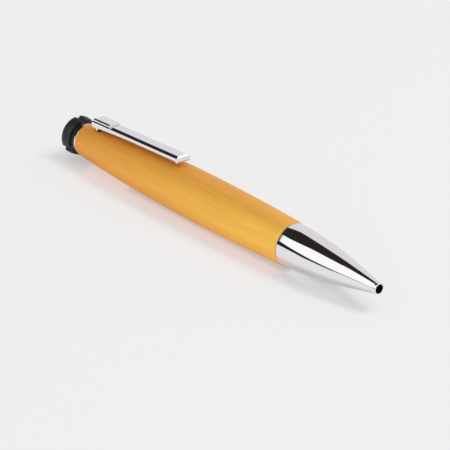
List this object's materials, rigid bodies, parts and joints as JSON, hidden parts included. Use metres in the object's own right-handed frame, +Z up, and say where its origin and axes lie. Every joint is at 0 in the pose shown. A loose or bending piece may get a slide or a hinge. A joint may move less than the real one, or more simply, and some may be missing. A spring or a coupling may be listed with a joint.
{
  "type": "ballpoint pen",
  "caption": "Twist-action ballpoint pen with a belly-shaped amber barrel, polished nose cone, notched black twist knob and a straight sprung clip.",
  "frame": {"origin": "middle of the pen's overall length, in its middle plane, on the surface it lies on", "axes": "+X along the pen towards the writing point, +Z up through the clip"},
  "size_m": [0.132, 0.014, 0.0166],
  "materials": {
    "amber_anodised": "satin amber anodising over fine brushing",
    "chrome_plate": "polished chrome plate",
    "brass": "turned brass",
    "black_plastic": "moulded black, low sheen",
    "black_gloss": "moulded black, gloss",
    "steel": "bright drawn steel",
    "black_rubber": "moulded rubber",
    "white_acetal": "moulded white acetal",
    "nickel_silver": "turned nickel silver",
    "ink": "blue-black ballpoint ink"
  },
  "bodies": {
    "body": {"barrel": "amber_anodised", "nose_cone": "chrome_plate", "front_bushing": "brass", "trim_ring": "chrome_plate", "rear_bushing": "brass", "mechanism_sleeve": "brass", "retaining_ring": "steel", "return_spring": "steel"},
    "knob": {"knob_grip": "black_plastic", "knob_core": "brass", "knob_end_cap": "black_gloss", "knob_screw": "steel", "cam_tube": "white_acetal", "friction_ring": "black_rubber"},
    "refill": {"drive_slider": "white_acetal", "drive_pin": "steel", "refill_plug": "black_plastic", "refill_tube": "steel", "ink_column": "ink", "refill_tip": "nickel_silver"},
    "ball": {"refill_ball": "steel"},
    "clip": {"clip": "chrome_plate", "clip_plate": "chrome_plate"}
  },
  "joints": [
    {"name": "knob_twist", "type": "hinge", "parent": "body", "child": "knob", "pos_m": [-0.0635, 0, 0.00665], "axis": [1, 0, 0], "range_deg": [0, 150]},
    {"name": "refill_slide", "type": "slide", "parent": "body", "child": "refill", "axis": [1, 0, 0], "range_m": [0, 0.005], "deforming": ["return_spring"]},
    {"name": "ball_roll", "type": "hinge", "parent": "refill", "child": "ball", "pos_m": [0.0629, 0, 0.00665], "axis": [0, 1, 0], "continuous": true},
    {"name": "clip_flex", "type": "hinge", "parent": "body", "child": "clip", "pos_m": [-0.05375, 0, 0.01115], "axis": [0, -1, 0], "range_deg": [0, 3], "stiffness_Nm_per_rad": 0.5}
  ],
  "couplings": [
    {"joint": "knob_twist", "follows": "refill_slide", "rad_per_m": 523.6}
  ]
}
